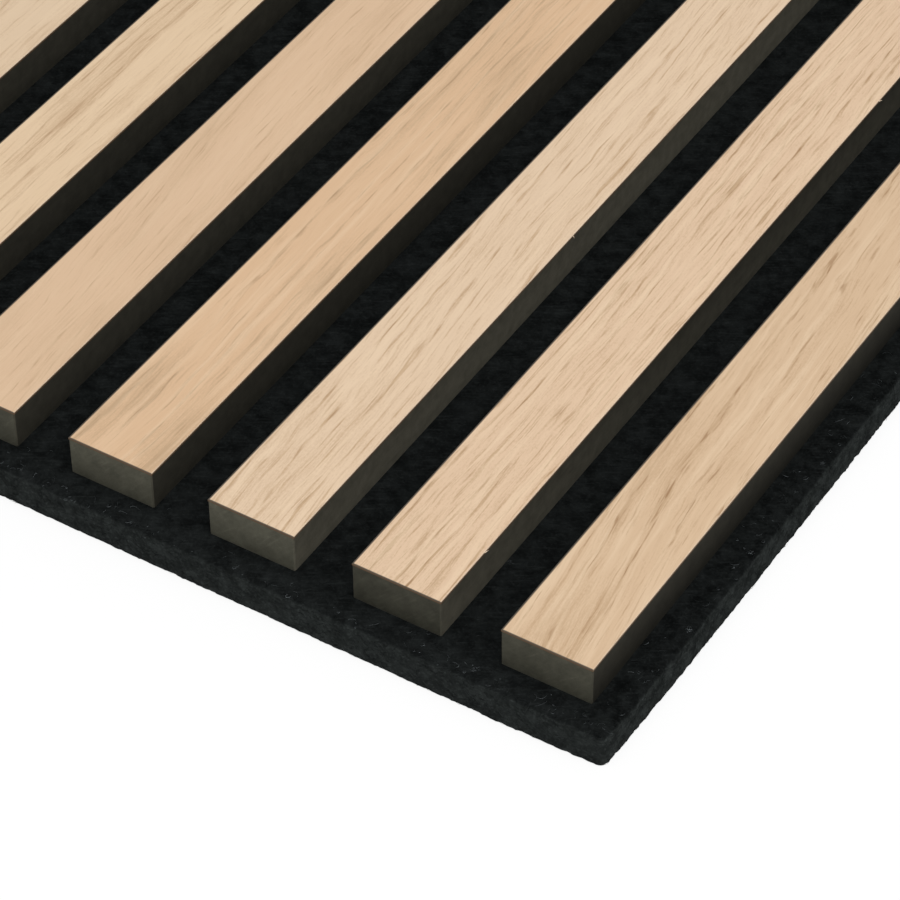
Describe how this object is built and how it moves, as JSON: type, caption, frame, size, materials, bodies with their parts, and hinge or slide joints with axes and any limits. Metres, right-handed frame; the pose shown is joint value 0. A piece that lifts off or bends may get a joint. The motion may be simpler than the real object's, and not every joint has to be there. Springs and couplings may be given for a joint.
{
  "type": "acoustic slat wall panel",
  "caption": "Square acoustic wall panel: parallel oak-veneered dark fibreboard slats with open channels between them, stapled from behind onto a black felt board.",
  "frame": {"origin": "centre of the felt's back face, which goes against the wall", "axes": "+Z out of the wall through the felt to the oak faces, +Y along the slats, +X across them; lying on its back"},
  "size_m": [0.6, 0.6, 0.0201],
  "materials": {
    "oak": "matt-lacquered oak veneer",
    "core": "through-dyed fibreboard, sawn",
    "felt": "needled polyester felt",
    "staple_wire": "galvanised flat wire"
  },
  "bodies": {
    "root": {"felt_backing": "felt", "slat_core_01": "core", "slat_core_02": "core", "slat_core_03": "core", "slat_core_04": "core", "slat_core_05": "core", "slat_core_06": "core", "slat_core_07": "core", "slat_core_08": "core", "slat_core_09": "core", "slat_core_10": "core", "slat_core_11": "core", "slat_core_12": "core", "slat_core_13": "core", "slat_core_14": "core", "slat_core_15": "core", "slat_veneer_01": "oak", "slat_veneer_02": "oak", "slat_veneer_03": "oak", "slat_veneer_04": "oak", "slat_veneer_05": "oak", "slat_veneer_06": "oak", "slat_veneer_07": "oak", "slat_veneer_08": "oak", "slat_veneer_09": "oak", "slat_veneer_10": "oak", "slat_veneer_11": "oak", "slat_veneer_12": "oak", "slat_veneer_13": "oak", "slat_veneer_14": "oak", "slat_veneer_15": "oak", "staples": "staple_wire"}
  },
  "joints": []
}
